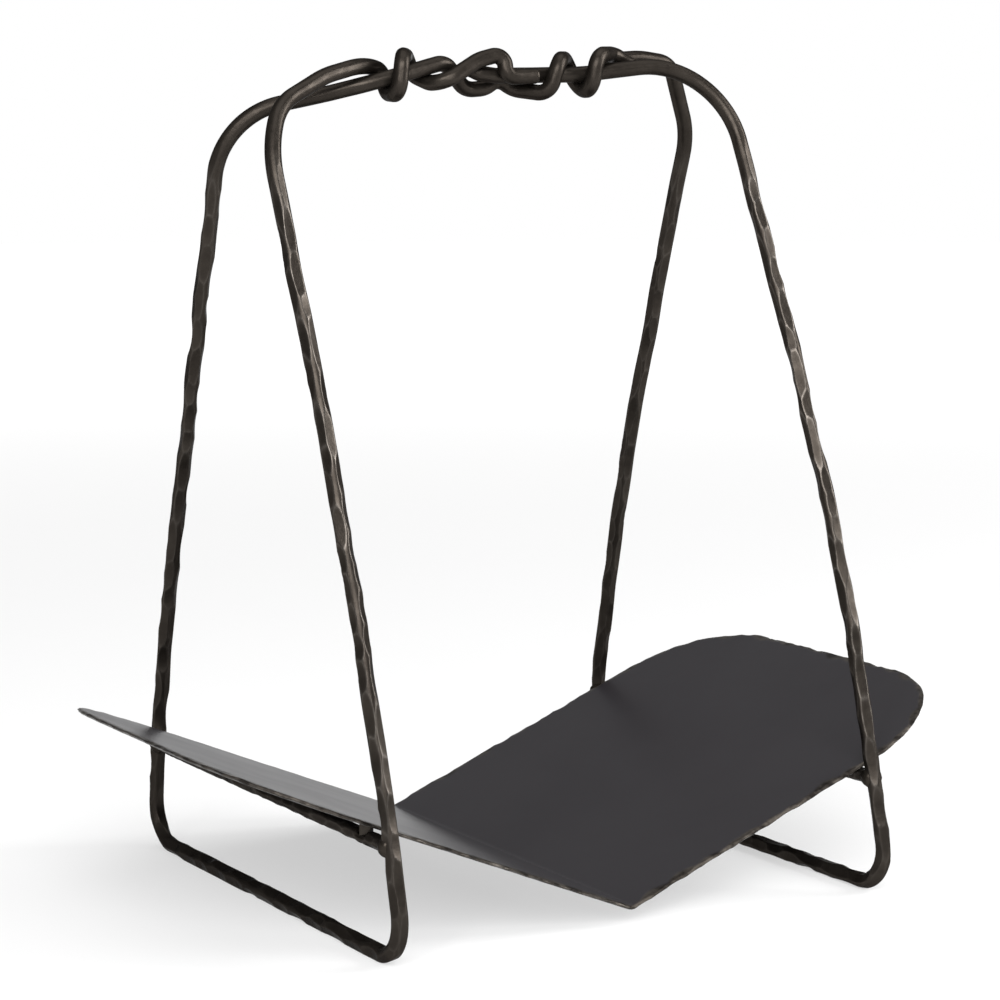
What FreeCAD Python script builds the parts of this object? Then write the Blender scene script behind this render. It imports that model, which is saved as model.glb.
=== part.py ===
import FreeCAD, Part
import math
import os

# Photo album stand: two bent bars twisted into one handle, two rungs and a folded tray.
# Millimetres, +Z up, the front legs on the -Y side.
# The origin is on the floor, under the middle of the tray.

V = FreeCAD.Vector

# --- driving dimensions -------------------------------------------------------------
rod_d = 9.0                 # round bar of both loops and both rungs
rod_r = rod_d / 2.0
gap = 0.3                   # air left between curved faces that meet

foot_left_x = -161.0        # floor bars
foot_right_x = 167.0
foot_y = 174.0              # corner of each foot bend, before rounding
foot_bend_r = 24.0
knee_z = 202.0              # height of the widest point of each bowed leg
leg_bow_r = 1400.0

tray_t = 2.5                # sheet thickness
tray_half_depth = 151.0     # along Y
wing_len = 272.0            # along the slope, fold to outer edge
wing_corner_r = {           # (side, end): -1 left or front, 1 right or back
    (-1, -1): 88.0,
    (-1, 1): 92.0,
    (1, -1): 88.0,
    (1, 1): 74.0,
}
wing_slope = math.atan(0.41)
fold_z = 8.5                # underside of the wings, carried down to the middle
fold_inner_r = 4.0

rung_left_z = 68.2          # rung centre heights
rung_right_z = 70.7

boss_side = 6.5             # square weld nuts under the wings
boss_y = 131.0
boss_turn = 48.0            # degrees about Z
seat_depth = 3.0            # flat on top of each rung, under a weld nut

screw_r = 2.0               # M4 countersunk screws, from below
screw_head_r = 3.7
screw_head_h = 1.9
socket_af = 2.5
socket_depth = 1.2
head_sink = 0.3

weld_r = 6.6                # fillet weld at each rung end

tip_len = 10.5              # hammered point on the long end
tip_r = 2.2

# --- bar paths: corner points and the bend radius at each -----------------------------
# Left bar: short end in the handle, round the handle, down the front leg, along the
# floor, up the back leg and through the handle to the long end.
left_path = [
    (18.0, -9.5, 490.5, 0.0),
    (-3.5, -10.5, 489.5, 5.5),
    (-3.0, -6.5, 504.0, 6.0),
    (-20.0, -6.5, 500.0, 30.0),
    (-43.5, -8.5, 487.0, 12.0),
    (-49.5, 1.0, 486.0, 9.0),
    (-56.5, 10.5, 491.0, 7.5),
    (-61.5, 9.0, 502.0, 7.5),
    (-75.5, -13.5, 502.0, 8.0),
    (-78.0, -13.5, 479.0, 8.0),
    (-75.5, 7.0, 480.0, 7.0),
    (-76.0, 11.0, 493.0, 8.0),
    (-95.0, -1.5, 497.0, 55.0),
    (-125.0, -11.0, 490.0, 80.0),
    (-161.0, -24.0, 473.5, 40.0),
    (-173.5, -38.0, 447.0, 80.0),
    (-167.5, -131.5, knee_z, leg_bow_r),
    (foot_left_x, -foot_y, rod_r, foot_bend_r),
    (foot_left_x, foot_y, rod_r, foot_bend_r),
    (-164.0, 151.0, 120.0, 800.0),
    (-174.0, 36.0, 436.0, 40.0),
    (-168.5, 24.0, 468.0, 47.0),
    (-113.0, 7.0, 480.0, 80.0),
    (-83.5, -5.0, 488.0, 60.0),
    (-40.0, 0.0, 498.5, 12.0),
    (-21.0, 9.5, 482.0, 14.0),
    (-7.5, 9.5, 483.0, 14.0),
    (2.5, 10.0, 489.0, 9.0),
    (11.5, 8.5, 482.5, 12.0),
    (27.5, -8.5, 479.5, 9.0),
    (33.0, -11.5, 500.5, 9.0),
    (48.5, 8.5, 501.0, 9.0),
    (60.0, 11.5, 482.0, 9.0),
    (57.0, -9.5, 482.0, 9.0),
    (60.0, -11.5, 503.5, 9.0),
    (77.0, 1.0, 504.0, 8.0),
    (86.0, 2.5, 502.0, 0.0),
]

# Right bar: short end in the handle, front leg, floor, back leg, short end.
right_path = [
    (-19.0, 3.5, 493.0, 0.0),
    (-5.5, 0.0, 490.5, 20.0),
    (54.5, 0.0, 491.5, 100.0),
    (94.0, -6.0, 496.0, 50.0),
    (149.0, -11.5, 499.0, 54.0),
    (160.0, -136.0, knee_z, leg_bow_r),
    (foot_right_x, -foot_y, rod_r, foot_bend_r),
    (foot_right_x, foot_y, rod_r, foot_bend_r),
    (165.0, 135.0, knee_z, leg_bow_r),
    (155.5, 35.0, 455.0, 60.0),
    (130.0, 15.5, 499.0, 20.0),
    (105.5, 13.0, 502.0, 60.0),
    (73.0, 11.0, 500.0, 0.0),
]

# Leg stretches that a rung meets, as slices of the paths above.
left_front_leg = left_path[15:18]
left_back_leg = left_path[18:21]
right_front_leg = right_path[4:7]
right_back_leg = right_path[7:10]


# --- bar helpers ------------------------------------------------------------------------
def bent_wire(corners):
    """Straight runs joined by tangent arcs through a list of (x, y, z, bend radius)."""
    points = [V(c[0], c[1], c[2]) for c in corners]
    edges = []
    here = points[0]
    for i in range(1, len(points) - 1):
        corner = points[i]
        radius = corners[i][3]
        back = (points[i - 1] - corner).normalize()
        ahead = (points[i + 1] - corner).normalize()
        half = back.getAngle(ahead) / 2.0
        reach = radius / math.tan(half)
        middle = (back + ahead).normalize()
        start = corner + back * reach
        end = corner + ahead * reach
        mid = corner + middle * (radius / math.sin(half) - radius)
        if (start - here).Length > 0.01:
            edges.append(Part.LineSegment(here, start).toShape())
        edges.append(Part.Arc(start, mid, end).toShape())
        here = end
    edges.append(Part.LineSegment(here, points[-1]).toShape())
    return Part.Wire(edges)


def bent_bar(corners, radius):
    """Round bar of one radius swept along a bent wire."""
    wire = bent_wire(corners)
    start = V(*corners[0][:3])
    direction = V(*corners[1][:3]) - start
    circle = Part.Wire([Part.makeCircle(radius, start, direction)])
    return wire.makePipeShell([circle], True, False)


def pointed_end(corners):
    """Short cone that draws the last end of a bar down to a blunt point."""
    last = V(*corners[-1][:3])
    direction = (last - V(*corners[-2][:3])).normalize()
    return Part.makeCone(rod_r, tip_r, tip_len, last, direction)


def straight_bar(start, end, radius):
    return Part.makeCylinder(radius, (end - start).Length, start, end - start)


# --- the two loops ------------------------------------------------------------------------
loop_left = bent_bar(left_path, rod_r).fuse(pointed_end(left_path)).removeSplitter()
loop_right = bent_bar(right_path, rod_r)


# --- the tray -----------------------------------------------------------------------------
def wing_point(along, up, side):
    """Point of the tray profile: distance up the slope and above the underside."""
    x = along * math.cos(wing_slope) - up * math.sin(wing_slope)
    z = fold_z + along * math.sin(wing_slope) + up * math.cos(wing_slope)
    return V(side * x, -tray_half_depth, z)


def fold_arc(radius, up):
    """Arc across the fold, tangent to both wings at the given height in the sheet."""
    centre_z = fold_z + (fold_inner_r + tray_t) / math.cos(wing_slope)
    left = V(-radius * math.sin(wing_slope), -tray_half_depth, centre_z - radius * math.cos(wing_slope))
    right = V(-left.x, left.y, left.z)
    bottom = V(0.0, -tray_half_depth, centre_z - radius)
    return left, bottom, right


under = fold_arc(fold_inner_r + tray_t, 0.0)
over = fold_arc(fold_inner_r, tray_t)
profile = Part.Wire([
    Part.Arc(under[0], under[1], under[2]).toShape(),
    Part.LineSegment(under[2], wing_point(wing_len, 0.0, 1)).toShape(),
    Part.LineSegment(wing_point(wing_len, 0.0, 1), wing_point(wing_len, tray_t, 1)).toShape(),
    Part.LineSegment(wing_point(wing_len, tray_t, 1), over[2]).toShape(),
    Part.Arc(over[2], over[1], over[0]).toShape(),
    Part.LineSegment(over[0], wing_point(wing_len, tray_t, -1)).toShape(),
    Part.LineSegment(wing_point(wing_len, tray_t, -1), wing_point(wing_len, 0.0, -1)).toShape(),
    Part.LineSegment(wing_point(wing_len, 0.0, -1), under[0]).toShape(),
])
tray = Part.Face(profile).extrude(V(0.0, 2.0 * tray_half_depth, 0.0))

for side in (-1, 1):
    for end in (-1, 1):
        corner_r = wing_corner_r[side, end]
        inset = wing_len - corner_r
        block = Part.makeBox(corner_r + 5.0, corner_r + 5.0, 20.0, V(inset, 0.0, -10.0))
        block.translate(V(0.0, tray_half_depth - corner_r, 0.0))
        disc = Part.makeCylinder(corner_r, 20.0, V(inset, tray_half_depth - corner_r, -10.0))
        waste = block.cut(disc)
        waste.rotate(V(0, 0, 0), V(0, 1, 0), -math.degrees(wing_slope))
        waste.translate(V(0.0, 0.0, fold_z))
        if side < 0:
            waste = waste.mirror(V(0, 0, 0), V(1, 0, 0))
        if end < 0:
            waste = waste.mirror(V(0, 0, 0), V(0, 1, 0))
        tray = tray.cut(waste)


# --- rungs, weld nuts, screws and welds -----------------------------------------------------
def leg_axis(leg, z):
    """Point on the middle of a leg at one height, from its straight lower run."""
    wire = bent_wire([leg[0][:3] + (0.0,), leg[1], leg[2][:3] + (0.0,)])
    level = Part.makePlane(1000.0, 1000.0, V(-500.0, -500.0, z))
    return level.section(wire).Vertexes[0].Point


def boss_top_cut(side):
    """Everything above the underside of one wing, for trimming a weld nut."""
    block = Part.makeBox(300.0, 2.0 * tray_half_depth, 60.0, V(0.0, -tray_half_depth, 0.0))
    block.rotate(V(0, 0, 0), V(0, 1, 0), -math.degrees(wing_slope))
    block.translate(V(0.0, 0.0, fold_z))
    if side < 0:
        block = block.mirror(V(0, 0, 0), V(1, 0, 0))
    return block


def hexagon_socket(centre, across_flats, depth):
    corner_r = across_flats / math.sqrt(3.0)
    ring = [V(centre.x + corner_r * math.cos(math.radians(60 * k)),
              centre.y + corner_r * math.sin(math.radians(60 * k)), centre.z) for k in range(7)]
    return Part.Face(Part.makePolygon(ring)).extrude(V(0.0, 0.0, depth))


def make_boss(x, y, seat_z, side):
    box = Part.makeBox(boss_side, boss_side, 12.0, V(-boss_side / 2.0, -boss_side / 2.0, 0.0))
    box.rotate(V(0, 0, 0), V(0, 0, 1), boss_turn)
    box.translate(V(x, y, seat_z))
    hole = Part.makeCylinder(screw_r + gap, 20.0, V(x, y, seat_z - 2.0))
    return box.cut(boss_top_cut(side)).cut(hole)


def make_screw(x, y, bottom_z, top_z):
    head = Part.makeCone(screw_head_r, screw_r, screw_head_h, V(x, y, bottom_z))
    shank = Part.makeCylinder(screw_r, top_z - bottom_z - screw_head_h, V(x, y, bottom_z + screw_head_h))
    socket = hexagon_socket(V(x, y, bottom_z), socket_af, socket_depth)
    return head.fuse(shank).removeSplitter().cut(socket)


def screw_hole(x, y, bottom_z):
    sink = Part.makeCone(screw_head_r + gap, screw_r + gap, screw_head_h, V(x, y, bottom_z + gap))
    mouth = Part.makeCylinder(screw_head_r + gap, 3.0, V(x, y, bottom_z + gap - 3.0))
    bore = Part.makeCylinder(screw_r + gap, 20.0, V(x, y, bottom_z))
    return sink.fuse(mouth).fuse(bore)


nodes = {"loop_left": loop_left, "loop_right": loop_right, "tray": tray}

for name, side, rung_z, legs in (
    ("left", -1, rung_left_z, (left_front_leg, left_back_leg)),
    ("right", 1, rung_right_z, (right_front_leg, right_back_leg)),
):
    front = leg_axis(legs[0], rung_z)
    back = leg_axis(legs[1], rung_z)
    rung = straight_bar(front, back, rod_r)
    for tag, leg, joint, into in (("front", legs[0], front, 1.0), ("back", legs[1], back, -1.0)):
        leg_room = bent_bar([leg[0][:3] + (0.0,), leg[1], leg[2][:3] + (0.0,)], rod_r + gap)
        rung = rung.cut(leg_room)
        bead = Part.makeSphere(weld_r, joint + V(0.0, into * (rod_r + 0.8), 0.0))
        bead = bead.cut(leg_room).cut(straight_bar(front, back, rod_r + gap))
        behind = Part.makeBox(40.0, 40.0, 40.0, V(joint.x - 20.0, joint.y - 20.0 - into * 20.0, joint.z - 20.0))
        nodes["weld_%s_%s" % (name, tag)] = bead.cut(behind)
    rung = max(rung.Solids, key=lambda s: s.Volume)

    for tag, y in (("front", -boss_y), ("back", boss_y)):
        x = front.x + (back.x - front.x) * (y - front.y) / (back.y - front.y)
        seat_z = rung_z + rod_r - seat_depth
        seat = Part.makeBox(20.0, boss_side * 1.6, 10.0, V(x - 10.0, y - boss_side * 0.8, seat_z))
        head_z = rung_z - rod_r + head_sink
        rung = rung.cut(seat).cut(screw_hole(x, y, head_z))
        boss = make_boss(x, y, seat_z, side)
        nodes["boss_%s_%s" % (name, tag)] = boss
        inner_top = fold_z + abs(x) * math.tan(wing_slope) - screw_r * math.tan(wing_slope) - 2.0 * gap
        nodes["screw_%s_%s" % (name, tag)] = make_screw(x, y, head_z, inner_top)
    nodes["rung_" + name] = rung

# --- write one file per node ---------------------------------------------------------------
os.makedirs("parts", exist_ok=True)
for name in sorted(nodes):
    nodes[name].exportStep("parts/%s.step" % name)
    box = nodes[name].BoundBox
    print("%-20s solids %d valid %s volume %9.1f  x %.1f..%.1f y %.1f..%.1f z %.1f..%.1f" % (
        name, len(nodes[name].Solids), nodes[name].isValid(), nodes[name].Volume,
        box.XMin, box.XMax, box.YMin, box.YMax, box.ZMin, box.ZMax))
for name, path in (("loop_left", left_path), ("loop_right", right_path)):
    length = bent_wire(path).Length
    print(name, "length %.1f, section x length %.1f" % (length, length * math.pi * rod_r ** 2))
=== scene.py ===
import math

import bmesh
import bpy
import numpy as np
from mathutils import Matrix, Vector
from mathutils.geometry import delaunay_2d_cdt


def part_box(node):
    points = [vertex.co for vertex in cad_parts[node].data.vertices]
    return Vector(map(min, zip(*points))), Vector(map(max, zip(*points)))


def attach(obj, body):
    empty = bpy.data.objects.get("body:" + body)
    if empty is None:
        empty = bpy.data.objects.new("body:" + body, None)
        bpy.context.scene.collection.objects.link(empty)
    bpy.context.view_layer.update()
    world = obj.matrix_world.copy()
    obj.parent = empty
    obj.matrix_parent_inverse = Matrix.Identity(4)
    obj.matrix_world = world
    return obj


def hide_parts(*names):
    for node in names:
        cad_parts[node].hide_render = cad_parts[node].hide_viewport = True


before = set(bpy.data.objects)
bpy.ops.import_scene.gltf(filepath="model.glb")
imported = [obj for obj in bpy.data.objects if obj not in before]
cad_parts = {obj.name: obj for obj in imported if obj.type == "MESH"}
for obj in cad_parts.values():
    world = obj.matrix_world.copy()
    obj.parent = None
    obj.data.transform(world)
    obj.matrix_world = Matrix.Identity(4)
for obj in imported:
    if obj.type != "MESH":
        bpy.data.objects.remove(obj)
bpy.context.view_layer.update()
rng = np.random.default_rng(7)

MM = 0.001
TAU = 2.0 * math.pi
SIDES = ("left", "right")
# end of a rung and the way from its leg into the stand
ENDS = (("front", 1.0), ("back", -1.0))

# ---------------------------------------------------------------- real sizes, millimetres
ROD_R = 4.5
FOOT_LEFT_X, FOOT_RIGHT_X, FOOT_Y, FOOT_BEND_R = -161.0, 167.0, 174.0, 24.0
KNEE_Z, LEG_BOW_R = 202.0, 1400.0
TRAY_T, TRAY_HALF_DEPTH, WING_LEN = 2.5, 151.0, 272.0
# corner radius of the sheet by (side, end): -1 left or front, 1 right or back
WING_CORNER_R = {(-1, -1): 88.0, (-1, 1): 92.0, (1, -1): 88.0, (1, 1): 74.0}
WING_SLOPE = math.atan(0.41)
FOLD_Z, FOLD_INNER_R = 8.5, 4.0
TIP_LEN = 10.5          # drawn-out point past the last corner of the left bar
FLOOR_CLEAR = 0.05      # lowest height of any vertex of a bar

# corners of the bent bars: x, y, z and bend radius
LEFT_PATH = [
    (18.0, -9.5, 490.5, 0.0),
    (-3.5, -10.5, 489.5, 5.5),
    (-3.0, -6.5, 504.0, 6.0),
    (-20.0, -6.5, 500.0, 30.0),
    (-43.5, -8.5, 487.0, 12.0),
    (-49.5, 1.0, 486.0, 9.0),
    (-56.5, 10.5, 491.0, 7.5),
    (-61.5, 9.0, 502.0, 7.5),
    (-75.5, -13.5, 502.0, 8.0),
    (-78.0, -13.5, 479.0, 8.0),
    (-75.5, 7.0, 480.0, 7.0),
    (-76.0, 11.0, 493.0, 8.0),
    (-95.0, -1.5, 497.0, 55.0),
    (-125.0, -11.0, 490.0, 80.0),
    (-161.0, -24.0, 473.5, 40.0),
    (-173.5, -38.0, 447.0, 80.0),
    (-167.5, -131.5, KNEE_Z, LEG_BOW_R),
    (FOOT_LEFT_X, -FOOT_Y, ROD_R, FOOT_BEND_R),
    (FOOT_LEFT_X, FOOT_Y, ROD_R, FOOT_BEND_R),
    (-164.0, 151.0, 120.0, 800.0),
    (-174.0, 36.0, 436.0, 40.0),
    (-168.5, 24.0, 468.0, 47.0),
    (-113.0, 7.0, 480.0, 80.0),
    (-83.5, -5.0, 488.0, 60.0),
    (-40.0, 0.0, 498.5, 12.0),
    (-21.0, 9.5, 482.0, 14.0),
    (-7.5, 9.5, 483.0, 14.0),
    (2.5, 10.0, 489.0, 9.0),
    (11.5, 8.5, 482.5, 12.0),
    (27.5, -8.5, 479.5, 9.0),
    (33.0, -11.5, 500.5, 9.0),
    (48.5, 8.5, 501.0, 9.0),
    (60.0, 11.5, 482.0, 9.0),
    (57.0, -9.5, 482.0, 9.0),
    (60.0, -11.5, 503.5, 9.0),
    (77.0, 1.0, 504.0, 8.0),
    (86.0, 2.5, 502.0, 0.0),
]
RIGHT_PATH = [
    (-24.0, 2.4, 493.2, 0.0),
    (-5.5, 0.0, 490.5, 20.0),
    (54.5, 0.0, 491.5, 100.0),
    (94.0, -6.0, 496.0, 50.0),
    (149.0, -11.5, 499.0, 54.0),
    (160.0, -136.0, KNEE_Z, LEG_BOW_R),
    (FOOT_RIGHT_X, -FOOT_Y, ROD_R, FOOT_BEND_R),
    (FOOT_RIGHT_X, FOOT_Y, ROD_R, FOOT_BEND_R),
    (165.0, 135.0, KNEE_Z, LEG_BOW_R),
    (155.5, 35.0, 455.0, 60.0),
    (130.0, 15.5, 499.0, 20.0),
    (105.5, 13.0, 502.0, 60.0),
    (73.0, 11.0, 500.0, 0.0),
]


# ---------------------------------------------------------------- small helpers
def ramp(value, low, high):
    """0 at or below low, 1 at or above high, smooth between."""
    t = np.clip((np.asarray(value, float) - low) / (high - low), 0.0, 1.0)
    return t * t * (3.0 - 2.0 * t)


def constant(value):
    """Function of arc length that gives the same value everywhere."""
    return lambda position: np.full(np.shape(position), value)


def smooth_noise(length, pitch):
    """Function of arc length, about -1 to 1, that changes over one pitch."""
    knots = rng.uniform(-1.0, 1.0, int(length / pitch) + 4)

    def value(s):
        x = np.clip(np.asarray(s, float) / pitch, 0.0, len(knots) - 2.001)
        k = x.astype(int)
        t = x - k
        t = t * t * (3.0 - 2.0 * t)
        return knots[k] * (1.0 - t) + knots[k + 1] * t

    return value


def unit(vector):
    return vector / np.linalg.norm(vector)


def lengths_along(points):
    """Distance from the first point to each point, along the line."""
    steps = np.linalg.norm(np.diff(points, axis=0), axis=1)
    return np.concatenate([[0.0], np.cumsum(steps)])


def linked(name, data):
    obj = bpy.data.objects.new(name, data)
    bpy.context.scene.collection.objects.link(obj)
    return obj


def new_object(name, verts_mm, faces):
    mesh = bpy.data.meshes.new(name)
    verts = [tuple(v * MM for v in p) for p in verts_mm]
    mesh.from_pydata(verts, [], [tuple(f) for f in faces])
    mesh.validate()
    mesh.polygons.foreach_set("use_smooth", [True] * len(mesh.polygons))
    return linked(name, mesh)


def add_values(obj, name, values):
    layer = obj.data.attributes.new(name, "FLOAT", "POINT")
    layer.data.foreach_set("value", np.asarray(values, np.float32))


def place(obj, slot, material, *nodes):
    obj.data.materials.append(material)
    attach(obj, "root")
    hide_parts(*nodes)


def weld_vertices(obj, distance):
    mesh = bmesh.new()
    mesh.from_mesh(obj.data)
    bmesh.ops.remove_doubles(mesh, verts=mesh.verts, dist=distance)
    bmesh.ops.recalc_face_normals(mesh, faces=mesh.faces)
    mesh.to_mesh(obj.data)
    mesh.free()


def middle(node_name):
    """Middle of a CAD node's box, in millimetres."""
    low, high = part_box(node_name)
    return (np.array(low) + np.array(high)) * 0.5 / MM


# ---------------------------------------------------------------- bent bars
def bar_line(corners, step):
    """Points every step along straight runs and tangent arcs, with their arc lengths."""
    pts = [np.array(c[:3]) for c in corners]
    here = pts[0]
    line = [here]

    def run_to(target):
        nonlocal here
        gap = np.linalg.norm(target - here)
        count = max(1, int(round(gap / step)))
        if gap > 0.05:
            line.extend(here + (target - here) * (k + 1) / count for k in range(count))
        here = target

    for i in range(1, len(pts) - 1):
        radius = corners[i][3]
        back = unit(pts[i - 1] - pts[i])
        ahead = unit(pts[i + 1] - pts[i])
        half = 0.5 * math.acos(np.clip(back @ ahead, -1.0, 1.0))
        run_to(pts[i] + back * radius / math.tan(half))
        centre = pts[i] + unit(back + ahead) * radius / math.sin(half)
        u = (here - centre) / radius
        turn = math.pi - 2.0 * half
        count = max(2, int(math.ceil(radius * turn / step)))
        for k in range(1, count + 1):
            a = turn * k / count
            line.append(centre + radius * (math.cos(a) * u - math.sin(a) * back))
        here = line[-1]
    run_to(pts[-1])
    line = np.array(line)
    return line, lengths_along(line)


def turning_frames(line):
    """Tangent and two normals at each point, without twist."""
    tangent = np.gradient(line, axis=0)
    tangent /= np.linalg.norm(tangent, axis=1)[:, None]
    normal = unit(np.cross(tangent[0], (0.3, 0.2, 1.0)))
    normals = []
    for t in tangent:
        normal = unit(normal - t * (normal @ t))
        normals.append(normal)
    normals = np.array(normals)
    return tangent, normals, np.cross(tangent, normals)


# hammer marks; lengths in millimetres, angles in radians, depths as a share of the radius
MARK_SPAN = (0.65, 1.45)       # length of a mark, as a share of the pitch
MARK_BITE = (0.60, 1.0)        # depth of a mark, as a share of the depth asked for
ROW_JITTER, MARK_JITTER = 0.12, 0.36
DRIFT_PITCH, DRIFT_ANGLE = 110.0, 0.35
MARK_TILT, TILT_DEPTH = 0.004, 0.14
MARK_REACH, MARK_BOW = 0.62, 1.1
EDGE_WIDTH = 0.040             # how far the worn colour runs from the edge between two marks
ROUND_POWER = 64.0             # how sharply a mark meets the round of the bar


def hammer_rows(s, theta, length, rows, pitch, depth):
    """Two nearest flats at each (s, theta), as radius factors; depth is a function of s."""
    best = np.full((len(s), len(theta)), 9.0)
    second = best.copy()
    start = rng.uniform(0.0, TAU)
    drift = smooth_noise(length, DRIFT_PITCH)
    for row in range(rows):
        base = start + TAU * row / rows + rng.uniform(-ROW_JITTER, ROW_JITTER)
        at = rng.uniform(-pitch, 0.0)
        while at < length + pitch:
            span = pitch * rng.uniform(*MARK_SPAN)
            centre = at + 0.5 * span
            at += span
            turn = DRIFT_ANGLE * float(drift(max(centre, 0.0)))
            angle = base + turn + rng.uniform(-MARK_JITTER, MARK_JITTER)
            bite = float(depth(centre)) * rng.uniform(*MARK_BITE)
            tilt = rng.uniform(-1.0, 1.0) * MARK_TILT * float(depth(centre)) / TILT_DEPTH
            low, high = np.searchsorted(s, (centre - 1.5 * span, centre + 1.5 * span))
            if high <= low:
                continue
            ds = s[low:high] - centre
            bow = bite * MARK_BOW * (ds / (MARK_REACH * span)) ** 2
            flat = 1.0 - bite + ds * tilt + bow
            around = np.maximum(np.cos(theta - angle), 0.25)
            radius = np.maximum(flat[:, None], 0.5) / around[None, :]
            old = best[low:high]
            second[low:high] = np.minimum(second[low:high], np.maximum(old, radius))
            best[low:high] = np.minimum(old, radius)
    return best, second


def ridge_wear_and_painted_shade(line, best, second, depth_here):
    """0 to 1 where two marks meet, for the paler worn colour; weaker near the floor and towards
    the back as painted shade on the floor bars and back legs.
    """
    edge = np.minimum(second, 1.0) - best
    ridge = np.exp(-np.abs(edge) / EDGE_WIDTH) * ramp(best, 0.68, 0.85)
    ridge = ridge * ramp(depth_here, 0.06, 0.20)[:, None]
    # painted shade: the worn colour fades on bars near the floor and on the back legs
    low = ramp(line[:, 2], 12.0, 120.0)
    rear = ramp(line[:, 1], -10.0, 60.0)
    return ridge * ((0.25 + 0.75 * low) * (1.0 - 0.55 * rear))[:, None]


def finish_end(style, along, radius, squash):
    """Radius and flattening near one end of a bar; along is the distance from that end."""
    if style == "cut":
        radius = radius * (1.0 - 0.16 * (1.0 - ramp(along, 0.0, 0.9)))[:, None]
    if style == "taper":
        nose = np.sqrt(np.clip(0.15 + along / 1.8, 0.0, 1.0))
        radius = radius * (nose * (0.64 + 0.36 * ramp(along, 0.0, 9.0)))[:, None]
    if style == "point":
        nose = np.sqrt(np.clip(0.25 + along / 1.6, 0.0, 1.0))
        draw = np.clip(0.42 + 0.58 * ramp(along, -1.0, TIP_LEN + 5.0), 0.0, 1.0)
        radius = radius * (draw * nose)[:, None]
        squash = squash * (0.72 + 0.28 * ramp(along, 2.0, TIP_LEN + 8.0))
    return radius, squash


def hammered_bar(name, line, s, sides, base_r, depth, rows, pitch, wobble, caps):
    """Round bar with long hammered flats; caps is how each end is finished."""
    length = s[-1]
    tangent, normal, binormal = turning_frames(line)
    sway_a = smooth_noise(length, 34.0)
    sway_b = smooth_noise(length, 27.0)
    line = (
        line
        + normal * (wobble(s) * sway_a(s))[:, None]
        + binormal * (wobble(s) * sway_b(s))[:, None]
    )
    theta = np.arange(sides) * TAU / sides
    best, second = hammer_rows(s, theta, length, rows, pitch, depth)
    ridge_values = list(ridge_wear_and_painted_shade(line, best, second, depth(s)).reshape(-1))
    # soft minimum of the flats and the round bar
    factor = (best ** -ROUND_POWER + 1.0) ** (-1.0 / ROUND_POWER)
    radius = base_r(s)[:, None] * factor
    squash = np.ones(len(s))
    for along, style in zip((s, length - s), caps):
        radius, squash = finish_end(style, along, radius, squash)
    ring = (
        normal[:, None, :] * (radius * np.cos(theta))[:, :, None]
        + binormal[:, None, :] * (radius * np.sin(theta) * squash[:, None])[:, :, None]
    )
    verts = list(map(tuple, (line[:, None, :] + ring).reshape(-1, 3)))
    faces = []
    for i in range(len(s) - 1):
        a, b = i * sides, (i + 1) * sides
        for j in range(sides):
            k = (j + 1) % sides
            faces.append((a + j, a + k, b + k, b + j))
    # each end is closed by a narrower ring and a hub, a little proud of the last ring
    for at, first, outward in ((0, 0, -1.0), (-1, (len(s) - 1) * sides, 1.0)):
        inner = len(verts)
        for j in range(sides):
            shrunk = 0.80 * np.array(verts[first + j]) + 0.20 * line[at]
            verts.append(tuple(shrunk + tangent[at] * outward * 0.12))
        verts.append(tuple(line[at] + tangent[at] * outward * 0.18))
        hub = len(verts) - 1
        ridge_values.extend([0.6] * sides + [0.2])
        for j in range(sides):
            k = (j + 1) % sides
            quad = (first + k, first + j, inner + j, inner + k)
            tri = (inner + k, inner + j, hub)
            faces.append(quad if at == 0 else quad[::-1])
            faces.append(tri if at == 0 else tri[::-1])
    verts = np.array(verts)
    verts[:, 2] = np.maximum(verts[:, 2], FLOOR_CLEAR)
    obj = new_object(name, verts, faces)
    add_values(obj, "ridge", ridge_values)
    return obj


# ---------------------------------------------------------------- materials
def node(tree, kind, **settings):
    item = tree.nodes.new(kind)
    for key, value in settings.items():
        setattr(item, key, value)
    return item


def fresh_material(name):
    material = bpy.data.materials.new(name)
    material.use_nodes = True
    tree = material.node_tree
    return material, tree, tree.nodes["Principled BSDF"]


def noise(tree, coords, scale, detail=4.0):
    item = node(tree, "ShaderNodeTexNoise")
    item.inputs["Scale"].default_value = scale
    item.inputs["Detail"].default_value = detail
    item.inputs["Roughness"].default_value = 0.55
    tree.links.new(coords, item.inputs["Vector"])
    return item.outputs["Fac"]


def spread(tree, source, low, high, to_low, to_high):
    """Source from low to high becomes to_low to to_high, with soft ends."""
    item = node(tree, "ShaderNodeMapRange", interpolation_type="SMOOTHSTEP")
    tree.links.new(source, item.inputs["Value"])
    names = ("From Min", "From Max", "To Min", "To Max")
    for key, value in zip(names, (low, high, to_low, to_high)):
        item.inputs[key].default_value = value
    return item.outputs["Result"]


def blend_colours(tree, factor, first, second):
    """Mix of two colours, each a tuple or a socket."""
    item = node(tree, "ShaderNodeMix", data_type="RGBA")
    tree.links.new(factor, item.inputs["Factor"])
    for socket, colour in ((item.inputs["A"], first), (item.inputs["B"], second)):
        if isinstance(colour, tuple):
            socket.default_value = colour + (1.0,)
        else:
            tree.links.new(colour, socket)
    return item.outputs["Result"]


def combine(tree, operation, first, second):
    """First (a socket) and second (a socket or a number) through one maths node."""
    item = node(tree, "ShaderNodeMath", operation=operation)
    tree.links.new(first, item.inputs[0])
    if isinstance(second, float):
        item.inputs[1].default_value = second
    else:
        tree.links.new(second, item.inputs[1])
    return item.outputs["Value"]


def bump(tree, height, distance, strength, normal=None):
    item = node(tree, "ShaderNodeBump")
    item.inputs["Strength"].default_value = strength
    item.inputs["Distance"].default_value = distance
    tree.links.new(height, item.inputs["Height"])
    if normal is not None:
        tree.links.new(normal, item.inputs["Normal"])
    return item.outputs["Normal"]


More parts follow.
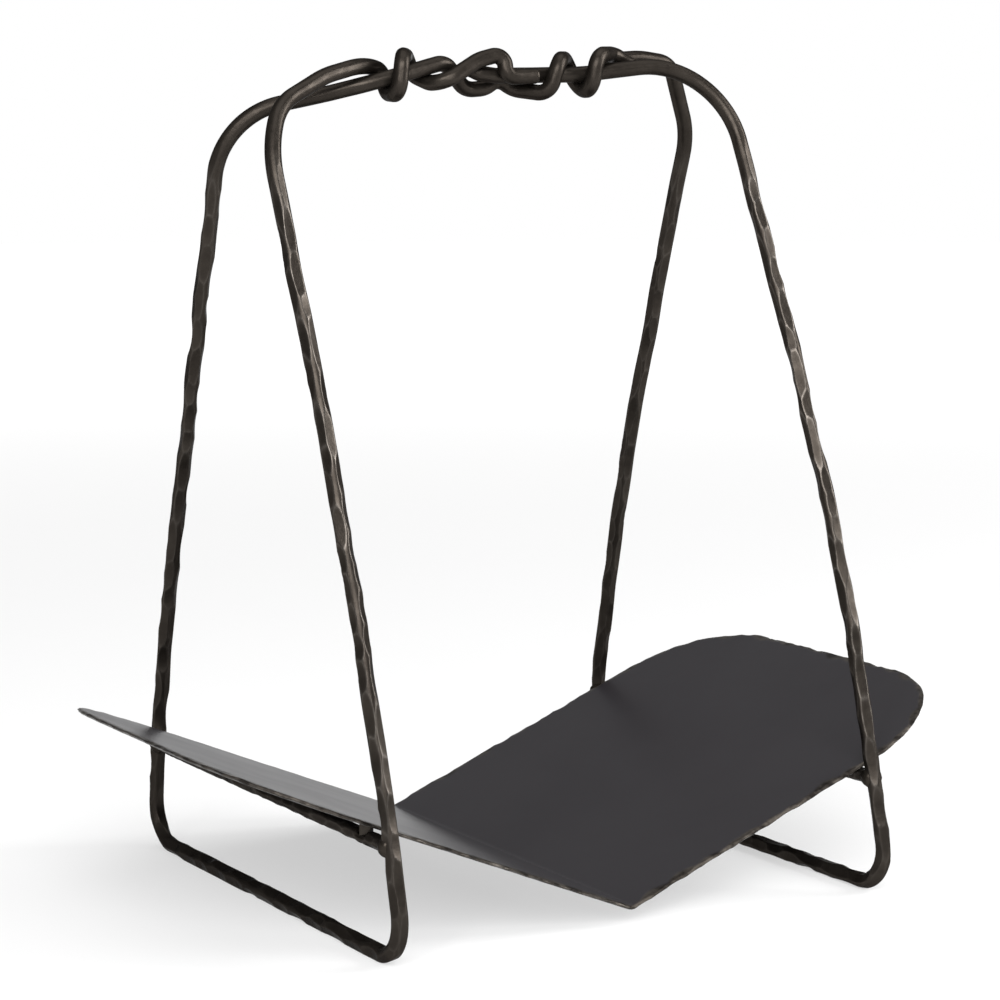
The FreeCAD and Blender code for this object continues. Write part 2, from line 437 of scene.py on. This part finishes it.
def coordinates(tree):
    return node(tree, "ShaderNodeTexCoord").outputs["Object"]


def attribute(tree, name):
    return node(tree, "ShaderNodeAttribute", attribute_name=name).outputs["Fac"]


def forged_material(name, dark, light, worn):
    """Dark waxed iron: mottled scale, fine pits and paler worn ridges."""
    material, tree, shader = fresh_material(name)
    shader.inputs["Metallic"].default_value = 0.8
    # dark tint at grazing angles, as the wax dulls the rims of the bars
    shader.inputs["Specular Tint"].default_value = (0.35, 0.35, 0.35, 1.0)
    shader.inputs["Specular IOR Level"].default_value = 0.2
    where = coordinates(tree)
    ridge = attribute(tree, "ridge")
    mottle = spread(tree, noise(tree, where, 55.0, 5.0), 0.35, 0.68, 0.0, 1.0)
    colour = blend_colours(tree, mottle, dark, light)
    patches = spread(tree, noise(tree, where, 90.0), 0.30, 0.60, 0.45, 1.0)
    # worn colour follows the ridge values, which also carry painted shade near the floor and at
    # the back
    colour = blend_colours(tree, combine(tree, "MULTIPLY", ridge, patches), colour, worn)
    tree.links.new(colour, shader.inputs["Base Color"])
    rough = spread(tree, noise(tree, where, 160.0), 0.3, 0.7, 0.32, 0.44)
    rough = combine(tree, "ADD", rough, combine(tree, "MULTIPLY", ridge, -0.08))
    tree.links.new(rough, shader.inputs["Roughness"])
    scale = bump(tree, noise(tree, where, 260.0, 3.0), 0.0004, 0.35)
    pits = bump(tree, noise(tree, where, 900.0, 3.0), 0.0002, 0.22, scale)
    tree.links.new(pits, shader.inputs["Normal"])
    return material


def tray_material():
    """Satin black sheet with a browned, beaten border."""
    material, tree, shader = fresh_material("tray_black")
    shader.inputs["IOR"].default_value = 1.45
    shader.inputs["Specular IOR Level"].default_value = 0.38
    where = coordinates(tree)
    border = attribute(tree, "border")
    cloud = spread(tree, noise(tree, where, 9.0), 0.35, 0.65, 0.0, 1.0)
    black = blend_colours(tree, cloud, (0.0192, 0.0174, 0.0200), (0.0214, 0.0196, 0.0222))
    speckle = spread(tree, noise(tree, where, 120.0), 0.35, 0.65, 0.0, 1.0)
    brown = blend_colours(tree, speckle, (0.014, 0.0110, 0.0090), (0.085, 0.074, 0.063))
    tree.links.new(blend_colours(tree, border, black, brown), shader.inputs["Base Color"])
    tree.links.new(combine(tree, "MULTIPLY", border, 0.75), shader.inputs["Metallic"])
    rough = spread(tree, noise(tree, where, 14.0, 2.0), 0.3, 0.7, 0.33, 0.36)
    tree.links.new(rough, shader.inputs["Roughness"])
    grain = bump(tree, noise(tree, where, 1400.0, 2.0), 0.0001, 0.10)
    dents = combine(tree, "MULTIPLY", noise(tree, where, 300.0, 3.0), border)
    tree.links.new(bump(tree, dents, 0.0004, 0.30, grain), shader.inputs["Normal"])
    return material


# dark, light and worn colour of each iron
ROD_METAL = forged_material(
    "forged_iron", (0.0274, 0.0230, 0.0192), (0.0374, 0.0317, 0.0266), (0.112, 0.100, 0.089)
)
WELD_METAL = forged_material(
    "weld_bead", (0.0256, 0.0212, 0.0172), (0.0361, 0.0302, 0.0248), (0.062, 0.054, 0.046)
)
FIXING_METAL = forged_material(
    "fixing_steel", (0.036, 0.0310, 0.026), (0.050, 0.0435, 0.037), (0.088, 0.078, 0.067)
)
TRAY_BLACK = tray_material()

# ---------------------------------------------------------------- the two loops
LOOP_SIDES, LOOP_STEP, LOOP_ROWS, LOOP_PITCH = 64, 1.0, 4, 21.0
STRAND_EXTRA = 0.33     # how much thicker the radius is than in the CAD


def build_loop(name, path, caps):
    line, s = bar_line(path, LOOP_STEP)
    height = line[:, 2]

    def along_bar(values):
        return lambda position: np.interp(position, s, values)

    # legs and floor bars are beaten hard, the handle hardly at all
    beaten = 1.0 - ramp(height, 380.0, 475.0)
    on_floor = 1.0 - ramp(height, 5.0, 30.0)
    width = ROD_R + STRAND_EXTRA + 0.02 * beaten + 0.15 * on_floor
    depth = 0.03 + 0.25 * beaten
    wobble = 0.05 + 0.55 * ramp(beaten, 0.0, 1.0) * (1.0 - 0.7 * on_floor)
    bar = hammered_bar(
        name + "_bar", line, s, LOOP_SIDES, along_bar(width), along_bar(depth),
        LOOP_ROWS, LOOP_PITCH, along_bar(wobble), caps,
    )
    place(bar, "rod", ROD_METAL, name)


def with_tip(path):
    """The same path, with its last corner moved on by the length of the drawn-out point."""
    last = np.array(path[-1][:3])
    end = last + unit(last - np.array(path[-2][:3])) * TIP_LEN
    return path[:-1] + [tuple(end) + (0.0,)]


build_loop("loop_left", with_tip(LEFT_PATH), ("cut", "point"))
build_loop("loop_right", RIGHT_PATH, ("taper", "cut"))

# ---------------------------------------------------------------- the tray
OUTLINE_STEP, CORNER_STEPS = 1.4, 60
# distances of the border's rings from the outline, and the rounding of the edge at each
RING_INSET = np.array([0.0, 0.35, 0.9, 1.7, 2.6, 3.6, 4.7, 6.0, 8.0])
RING_ROUNDING = np.array([0.55, 0.18, 0.04, 0.0, 0.0, 0.0, 0.0, 0.0, 0.0])[:, None]
# rows of hammer blows: pitch, depth at the edge, slope inward, bow along the edge
TOP_BLOWS = ((11.5, 1.45, 0.42, 0.016), (19.0, 0.75, 0.12, 0.004))
LOW_BLOWS = ((12.0, 0.70, 0.25, 0.010),)
TOP_DEEPEST, LOW_DEEPEST = 1.35, 0.65
EDGE_BULGE = 0.30       # how far the middle of the edge stands out
FILL_GRID, FOLD_GRID = 7.0, [-4.5, -3.0, -2.0, -1.0, 0.0, 1.0, 2.0, 3.0, 4.5]


def tray_outline(step):
    """Closed outline of the flat sheet (along, y), evenly spaced, with outward normals."""
    pts = []
    for side, end, start in ((1, 1, 0.0), (-1, 1, 0.25), (-1, -1, 0.5), (1, -1, 0.75)):
        corner = WING_CORNER_R[side, end]
        centre_x = side * (WING_LEN - corner)
        centre_y = end * (TRAY_HALF_DEPTH - corner)
        for k in range(CORNER_STEPS + 1):
            a = TAU * (start + 0.25 * k / CORNER_STEPS)
            pts.append((centre_x + corner * math.cos(a), centre_y + corner * math.sin(a)))
    pts = np.array(pts + pts[:1])
    s = lengths_along(pts)
    count = int(s[-1] / step)
    at = np.arange(count) * s[-1] / count
    out = np.stack([np.interp(at, s, pts[:, 0]), np.interp(at, s, pts[:, 1])], axis=1)
    tangent = np.roll(out, -1, axis=0) - np.roll(out, 1, axis=0)
    tangent /= np.linalg.norm(tangent, axis=1)[:, None]
    normal = np.stack([tangent[:, 1], -tangent[:, 0]], axis=1)
    return out, normal, at, s[-1]


def fold_points(along, y, up):
    """Flat sheet coordinates to the folded tray; up is measured from the sheet's middle."""
    mid_r = FOLD_INNER_R + 0.5 * TRAY_T
    centre_z = FOLD_Z + (FOLD_INNER_R + TRAY_T) / math.cos(WING_SLOPE)
    side = np.sign(along)
    beyond = np.maximum(np.abs(along) - mid_r * WING_SLOPE, 0.0)
    angle = np.minimum(np.abs(along) / mid_r, WING_SLOPE)
    radius = mid_r - up
    x = side * (radius * np.sin(angle) + beyond * np.cos(angle))
    z = centre_z - radius * np.cos(angle) + beyond * np.sin(angle)
    return np.stack([x, y, z], axis=-1)


def waviness(xy):
    """Slow waves of the beaten-out sheet, the same on both faces and calm at the fold."""
    x, y = xy[:, 0], xy[:, 1]
    slow = np.sin(x * 0.031 + 1.3 * np.sin(y * 0.017)) * 0.06
    return (slow + np.sin(y * 0.043 + x * 0.012) * 0.05) * ramp(np.abs(x), 4.0, 60.0)


def scalloped(out, at, around):
    """How far each hammer blow spreads the outline."""
    knots, offsets, pos = [], [], 0.0
    while pos < around:
        knots.append(pos)
        offsets.append(rng.uniform(-0.75, 0.65))
        pos += rng.uniform(6.0, 13.0)
    wave = np.interp(at, knots + [around], offsets + offsets[:1])
    wave = 0.5 * wave + 0.25 * (np.roll(wave, 1) + np.roll(wave, -1))
    # the left wing's end is trimmed a little
    return wave - 1.6 * ramp(-out[:, 0], 250.0, 268.0)


def beaten_border(at, total_length, rows):
    """Loss of height at each ring, from overlapping hammer blows along the border."""
    loss = np.zeros((len(RING_INSET), len(at)))
    for pitch, bite, slope, bow in rows:
        pos = 0.0
        while pos < total_length:
            span = pitch * rng.uniform(0.65, 1.4)
            centre = pos + 0.5 * span
            pos += span
            depth = bite * rng.uniform(0.45, 1.0)
            lean = slope * rng.uniform(0.75, 1.3)
            skew = rng.uniform(-0.035, 0.035)
            ds = (at - centre + 0.5 * total_length) % total_length - 0.5 * total_length
            near = np.abs(ds) < 2.0 * span
            ds = ds[None, near]
            cut = depth - lean * RING_INSET[:, None] + skew * ds - bow * ds ** 2
            loss[:, near] = np.maximum(loss[:, near], cut)
    return loss


def room(x, y):
    """Distance of a point of the flat sheet from the outline."""
    corner = WING_CORNER_R[1 if x > 0.0 else -1, 1 if y > 0.0 else -1]
    cx = abs(x) - (WING_LEN - corner)
    cy = abs(y) - (TRAY_HALF_DEPTH - corner)
    if cx > 0.0 and cy > 0.0:
        return corner - math.hypot(cx, cy)
    return min(WING_LEN - abs(x), TRAY_HALF_DEPTH - abs(y))


def sheet_fill(edge):
    """Points and faces inside the last ring, closer together at the fold."""
    gx = np.arange(-WING_LEN + 4.0, WING_LEN - 3.0, FILL_GRID)
    gx = np.unique(np.concatenate([gx[np.abs(gx) > 6.0], FOLD_GRID]))
    gy = np.arange(-TRAY_HALF_DEPTH + 4.0, TRAY_HALF_DEPTH - 3.0, FILL_GRID)
    clear = RING_INSET[-1] + 0.45 * FILL_GRID
    inner = [(x, y) for x in gx for y in gy if room(x, y) > clear]
    seeds = [Vector(p) for p in edge] + [Vector(p) for p in inner]
    loop_edges = [(i, (i + 1) % len(edge)) for i in range(len(edge))]
    fill = delaunay_2d_cdt(seeds, loop_edges, [], 1, 1e-5)
    return np.array([tuple(v) for v in fill[0]]), [tuple(f) for f in fill[2]]


def build_tray():
    out, normal, at, around = tray_outline(OUTLINE_STEP)
    wave = scalloped(out, at, around)
    top_loss = beaten_border(at, around, TOP_BLOWS)
    low_loss = beaten_border(at, around, LOW_BLOWS)
    half = 0.5 * TRAY_T
    top = half - np.minimum(top_loss, TOP_DEEPEST) - RING_ROUNDING
    low = -half + np.minimum(low_loss, LOW_DEEPEST) + RING_ROUNDING
    border = np.maximum(top_loss / 0.25, 1.0 - RING_INSET[:, None] / 2.2)
    border = np.clip(border, 0.0, 1.0)
    rings = [out + normal * (wave * (1.0 - ramp(d, 1.0, 8.0)) - d)[:, None] for d in RING_INSET]
    fill_xy, fill_faces = sheet_fill(rings[-1])
    verts, faces, border_values = [], [], []

    def add_layer(xy, up, values):
        first = len(verts)
        points = fold_points(xy[:, 0], xy[:, 1], up + waviness(xy))
        verts.extend(map(tuple, points))
        border_values.extend(values)
        return first

    top_rings = [add_layer(ring, top[k], border[k]) for k, ring in enumerate(rings)]
    low_rings = [add_layer(ring, low[k], border[k]) for k, ring in enumerate(rings)]
    count = len(at)
    bulge = out + normal * (wave + EDGE_BULGE)[:, None]
    wall = add_layer(bulge, 0.5 * (top[0] + low[0]), np.ones(count))
    inside = len(fill_xy)
    top_fill = add_layer(fill_xy, np.full(inside, half), np.zeros(inside))
    low_fill = add_layer(fill_xy, np.full(inside, -half), np.zeros(inside))
    for i in range(count):
        j = (i + 1) % count
        for a, b in zip(top_rings, top_rings[1:]):
            faces.append((a + i, a + j, b + j, b + i))
        for a, b in zip(low_rings, low_rings[1:]):
            faces.append((a + j, a + i, b + i, b + j))
        faces.append((wall + i, wall + j, top_rings[0] + j, top_rings[0] + i))
        faces.append((low_rings[0] + i, low_rings[0] + j, wall + j, wall + i))
    for f in fill_faces:
        faces.append(tuple(top_fill + v for v in f))
        faces.append(tuple(low_fill + v for v in reversed(f)))
    obj = new_object("tray_sheet", verts, faces)
    add_values(obj, "border", border_values)
    # the fill's outer vertices lie on the last ring
    weld_vertices(obj, 0.02 * MM)
    place(obj, "tray", TRAY_BLACK, "tray")


build_tray()

# ---------------------------------------------------------------- rungs, welds, nuts, screws
RUNG_SIDES, RUNG_STEP, RUNG_ROWS, RUNG_PITCH, RUNG_DEPTH = 40, 0.8, 5, 15.0, 0.17
RUNG_EXTRA = 1.5            # how far the rung runs on into each weld
SEAT_HALF = 5.2             # half length of the flat under a weld nut
HEAD_R, HEAD_CLEAR = 3.9, 0.30


def build_rung(side):
    low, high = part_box("rung_" + side)
    rung_z = 0.5 * (low[2] + high[2]) / MM
    screws = [(tag, middle("screw_%s_%s" % (side, tag))) for tag, _ in ENDS]
    front, back = screws[0][1], screws[1][1]
    slope = (back[0] - front[0]) / (back[1] - front[1])
    ends = [
        np.array((front[0] + slope * (y - front[1]), y, rung_z))
        for y in (low[1] / MM - RUNG_EXTRA, high[1] / MM + RUNG_EXTRA)
    ]
    count = int((ends[1][1] - ends[0][1]) / RUNG_STEP)
    line = np.array([ends[0] + (ends[1] - ends[0]) * k / count for k in range(count + 1)])
    s = np.linalg.norm(line - line[0], axis=1)
    rung = hammered_bar(
        "rung_%s_bar" % side, line, s, RUNG_SIDES, constant(ROD_R), constant(RUNG_DEPTH),
        RUNG_ROWS, RUNG_PITCH, constant(0.0), ("plain", "plain"),
    )
    co = np.array([v.co for v in rung.data.vertices]) / MM
    for tag, screw in screws:
        # flat seat for the weld nut
        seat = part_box("boss_%s_%s" % (side, tag))[0][2] / MM
        off_y = np.abs(co[:, 1] - screw[1])
        away = np.hypot(co[:, 0] - screw[0], co[:, 1] - screw[1])
        on_seat = (off_y < SEAT_HALF) & (co[:, 2] > rung_z)
        co[on_seat, 2] = np.minimum(co[on_seat, 2], seat)
        # the underside stays fully round near the screw head
        axis_x = screw[0] + slope * (co[:, 1] - screw[1])
        out_r = np.maximum(np.hypot(co[:, 0] - axis_x, co[:, 2] - rung_z), 0.1)
        full = (1.0 - ramp(off_y, 5.0, 10.0)) * (co[:, 2] < rung_z)
        grow = 1.0 + full * np.maximum(ROD_R / out_r - 1.0, 0.0)
        co[:, 0] = axis_x + (co[:, 0] - axis_x) * grow
        co[:, 2] = rung_z + (co[:, 2] - rung_z) * grow
        # and is let in a little under the head itself
        co[(away < HEAD_R) & (co[:, 2] < rung_z), 2] += HEAD_CLEAR
    rung.data.vertices.foreach_set("co", (co * MM).astype(np.float32).ravel())
    rung.data.update()
    place(rung, "rod", ROD_METAL, "rung_" + side)


WELD_SIDES, WELD_STEPS, WELD_LOBES = 56, 22, 9.0
WELD_REACH = 11.9           # from the leg's centre line to the inner end of the weld node
# radius of the bead by distance from the leg's centre line
WELD_PROFILE = [
    (0.4, 4.3), (1.2, 5.2), (2.2, 5.9), (3.4, 6.3), (4.6, 6.35), (5.8, 6.2), (7.0, 5.8),
    (8.2, 5.3), (9.3, 4.9), (10.2, 4.62), (10.6, 4.45),
]


def weld_bead(name, into):
    """Lumpy fillet between a rung end and its leg; into is the way along the rung."""
    low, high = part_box(name)
    inner_y = (high[1] if into > 0 else low[1]) / MM
    joint_x, joint_z = 0.5 * (low[0] + high[0]) / MM, 0.5 * (low[2] + high[2]) / MM
    joint_y = inner_y - into * WELD_REACH
    ripple = smooth_noise(TAU * 10.0, 5.0)
    verts, faces = [], []
    places = np.linspace(0, len(WELD_PROFILE) - 1, WELD_STEPS)
    t, r = (np.interp(places, range(len(WELD_PROFILE)), column) for column in zip(*WELD_PROFILE))
    last = WELD_STEPS - 1
    for k in range(WELD_STEPS):
        for j in range(WELD_SIDES):
            a = TAU * j / WELD_SIDES
            lump = 0.22 * float(ripple(a * 10.0)) * math.sin(math.pi * k / last)
            lump += 0.10 * math.sin(WELD_LOBES * a + 0.9 * t[k])
            reach = t[k] + 0.5 * math.sin(WELD_LOBES * a) * k / WELD_STEPS
            radius = r[k] + lump * (1.0 if 0 < k < last else 0.3)
            x, z = joint_x + radius * math.cos(a), joint_z + radius * math.sin(a)
            verts.append((x, joint_y + into * reach, z))
    for k in range(last):
        a, b = k * WELD_SIDES, (k + 1) * WELD_SIDES
        for j in range(WELD_SIDES):
            i = (j + 1) % WELD_SIDES
            faces.append((a + j, a + i, b + i, b + j))
    for first in (0, last * WELD_SIDES):
        faces.append(tuple(range(first, first + WELD_SIDES)))
    obj = new_object(name + "_bead", verts, faces)
    weld_vertices(obj, 0.001 * MM)
    add_values(obj, "ridge", np.full(len(obj.data.vertices), 0.15))
    place(obj, "weld", WELD_METAL, name)


def softened_copy(name, node_name, width):
    """Copy of a small machined node with its sharp edges broken."""
    obj = linked(name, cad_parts[node_name].data.copy())
    obj.data.materials.clear()
    mesh = bmesh.new()
    mesh.from_mesh(obj.data)
    bmesh.ops.remove_doubles(mesh, verts=mesh.verts, dist=0.002 * MM)
    flat = math.radians(2.0)
    bmesh.ops.dissolve_limit(mesh, angle_limit=flat, verts=mesh.verts, edges=mesh.edges)
    mesh.to_mesh(obj.data)
    mesh.free()
    bevel = obj.modifiers.new("edges", "BEVEL")
    bevel.width = width * MM
    bevel.segments = 3
    bevel.limit_method = "ANGLE"
    bevel.angle_limit = math.radians(40.0)
    bevel.use_clamp_overlap = True
    bpy.context.view_layer.update()
    evaluated = obj.evaluated_get(bpy.context.evaluated_depsgraph_get())
    baked = bpy.data.meshes.new_from_object(evaluated)
    obj.modifiers.clear()
    obj.data = baked
    baked.polygons.foreach_set("use_smooth", [True] * len(baked.polygons))
    add_values(obj, "ridge", np.full(len(baked.vertices), 0.25))
    return obj


def build_fixing(side, tag):
    """Weld nut and screw; the screw's head is filed to the round of the rung."""
    nut = "boss_%s_%s" % (side, tag)
    place(softened_copy(nut + "_nut", nut, 0.45), "fixings", FIXING_METAL, nut)
    screw = "screw_%s_%s" % (side, tag)
    body = softened_copy(screw + "_body", screw, 0.12)
    rung_z, screw_x = middle("rung_" + side)[2] * MM, middle(screw)[0] * MM
    rod_r = ROD_R * MM
    for vert in body.data.vertices:
        reach = min(abs(vert.co.x - screw_x), rod_r)
        vert.co.z = max(vert.co.z, rung_z - math.sqrt(rod_r ** 2 - reach ** 2))
    place(body, "fixings", FIXING_METAL, screw)


for side in SIDES:
    build_rung(side)
for side in SIDES:
    for tag, into in ENDS:
        weld_bead("weld_%s_%s" % (side, tag), into)
for side in SIDES:
    for tag, _ in ENDS:
        build_fixing(side, tag)

# ---------------------------------------------------------------- floor, light and camera
FLOOR_RADII = (0.5, 0.7, 1.0, 1.3, 1.7, 2.2, 2.8, 3.5, 4.5, 6.0, 9.0, 14.0)
FLOOR_STEPS, FLOOR_COLOUR = 96, 0.36
FLOOR_GLOW, FLOOR_GLOW_FAR = 0.55, 0.32     # under the stand, and added by 4.5 m
WALL_RADIUS, WALL_HEIGHT, WALL_STEPS = 9.0, 0.92, 120
WALL_GLOW, WALL_GLOW_BEHIND = 0.20, 0.80    # all round, and added behind the stand
BEHIND = math.radians(60.3)                 # direction of the whitest wall


def glowing_sheet(name, verts, faces, colour, glow):
    """Matt pale studio surface whose own light varies from point to point."""
    mesh = bpy.data.meshes.new(name)
    mesh.from_pydata(verts, [], faces)
    obj = linked(name, mesh)
    add_values(obj, "glow", glow)
    material, tree, shader = fresh_material(name)
    shader.inputs["Base Color"].default_value = (colour, colour, colour, 1.0)
    shader.inputs["Roughness"].default_value = 0.9
    shader.inputs["Specular IOR Level"].default_value = 0.0
    shader.inputs["Emission Color"].default_value = (1.0, 1.0, 1.0, 1.0)
    tree.links.new(attribute(tree, "glow"), shader.inputs["Emission Strength"])
    mesh.materials.append(material)


def studio_floor():
    verts, glow = [(0.0, 0.0, 0.0)], [FLOOR_GLOW]
    for r in FLOOR_RADII:
        for k in range(FLOOR_STEPS):
            a = TAU * k / FLOOR_STEPS
            verts.append((r * math.cos(a), r * math.sin(a), 0.0))
            glow.append(FLOOR_GLOW + FLOOR_GLOW_FAR * float(ramp(r, 0.7, 4.5)))
    faces = [(0, 1 + k, 1 + (k + 1) % FLOOR_STEPS) for k in range(FLOOR_STEPS)]
    for ring in range(len(FLOOR_RADII) - 1):
        a, b = 1 + ring * FLOOR_STEPS, 1 + (ring + 1) * FLOOR_STEPS
        for k in range(FLOOR_STEPS):
            n = (k + 1) % FLOOR_STEPS
            faces.append((a + k, b + k, b + n, a + n))
    glowing_sheet("studio_floor", verts, faces, FLOOR_COLOUR, glow)


def backdrop_ring():
    """Low pale wall round the floor, whitest behind the stand."""
    verts, faces, glow = [], [], []
    for k in range(WALL_STEPS):
        a = TAU * k / WALL_STEPS
        foot = (WALL_RADIUS * math.cos(a), WALL_RADIUS * math.sin(a))
        verts.extend([foot + (-0.05,), foot + (WALL_HEIGHT,)])
        facing = float(ramp(math.cos(a - BEHIND), 0.80, 0.95))
        glow.extend([WALL_GLOW + WALL_GLOW_BEHIND * facing] * 2)
        n = (k + 1) % WALL_STEPS
        faces.append((2 * k, 2 * k + 1, 2 * n + 1, 2 * n))
    glowing_sheet("studio_wall", verts, faces, 0.0, glow)


def facing_along(direction):
    """Rotation that points a lamp in a direction."""
    return Vector(direction).to_track_quat("-Z", "Y").to_euler()


def softbox(name, place_at, size, power):
    """Rectangular lamp aimed at the middle of the stand."""
    light = bpy.data.lights.new(name, "AREA")
    light.shape = "RECTANGLE"
    light.size, light.size_y = size
    light.energy = power
    obj = linked(name, light)
    obj.location = place_at
    obj.rotation_euler = facing_along(Vector((0.0, 0.0, 0.28)) - Vector(place_at))


studio_floor()
backdrop_ring()
softbox("softbox_right", (1.95, -1.10, 1.15), (1.0, 1.5), 62.0)
softbox("softbox_front", (-1.20, -2.15, 1.60), (2.4, 1.5), 114.0)

sky = bpy.data.lights.new("soft_sky", "SUN")
sky.energy = 1.1
sky.angle = math.radians(55.0)
linked("soft_sky", sky).rotation_euler = facing_along((-0.12, 0.05, -0.98))

world = bpy.data.worlds.new("studio")
bpy.context.scene.world = world
world.use_nodes = True
background = world.node_tree.nodes["Background"]
background.inputs["Color"].default_value = (1.0, 1.0, 1.0, 1.0)
background.inputs["Strength"].default_value = 0.22
bpy.context.scene.view_settings.view_transform = "Standard"

# camera at the photograph's viewing angle; location in metres
CAMERA_AT = (-0.9198, -1.6103, 0.4710)
AZIMUTH, ELEVATION, ROLL = math.radians(-29.67), math.radians(7.33), math.radians(-0.08)
level = Vector((math.cos(AZIMUTH), math.sin(AZIMUTH), 0.0))
away = Vector((
    math.sin(AZIMUTH) * math.cos(ELEVATION),
    -math.cos(AZIMUTH) * math.cos(ELEVATION),
    math.sin(ELEVATION),
))
upright = away.cross(level)
right = level * math.cos(ROLL) + upright * math.sin(ROLL)
up = upright * math.cos(ROLL) - level * math.sin(ROLL)
lens = bpy.data.cameras.new("camera")
lens.sensor_width = 36.0
lens.lens = 109.6
lens.clip_end = 60.0
camera = linked("camera", lens)
turned = Matrix((right, up, away)).transposed().to_4x4()
camera.matrix_world = Matrix.Translation(CAMERA_AT) @ turned
bpy.context.scene.camera = camera
